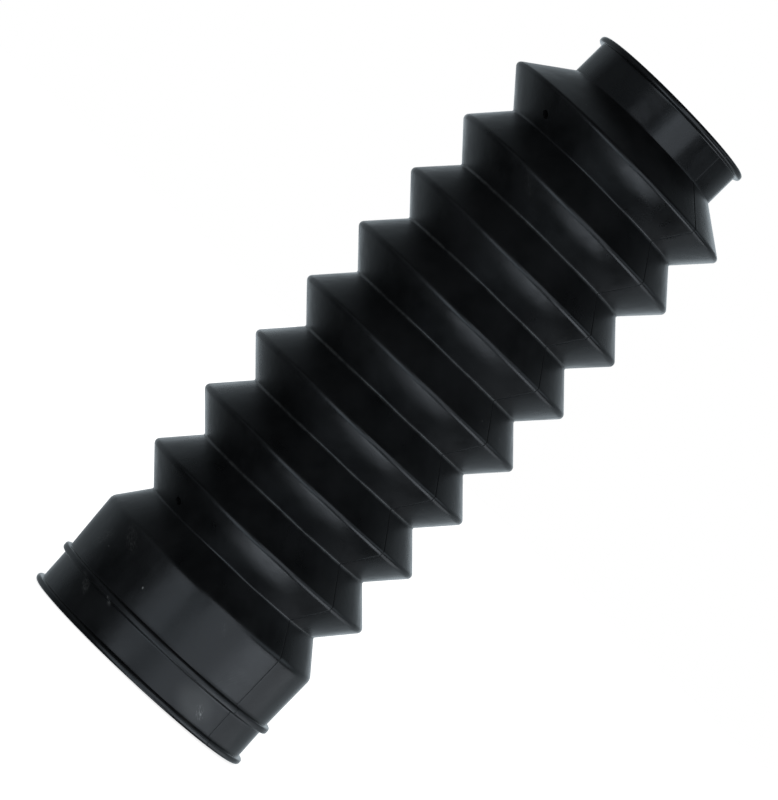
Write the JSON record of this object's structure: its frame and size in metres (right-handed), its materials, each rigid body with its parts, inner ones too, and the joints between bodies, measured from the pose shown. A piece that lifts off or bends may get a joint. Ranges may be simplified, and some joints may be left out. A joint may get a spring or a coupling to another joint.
{
  "type": "fork gaiter",
  "caption": "Rubber bellows that covers a motorbike's fork tube, with a small collar at one end and a wide clamp cuff at the other.",
  "frame": {"origin": "centre of the wide end's bottom face, on the axis", "axes": "+Z along the axis from the wide clamp cuff up to the small collar; the two breather holes face -Y; the mould's parting plane is close to the XZ plane"},
  "size_m": [0.0674, 0.0674, 0.1869],
  "materials": {
    "rubber": "satin black, moulded"
  },
  "bodies": {
    "root": {"gaiter": "rubber"}
  },
  "joints": []
}
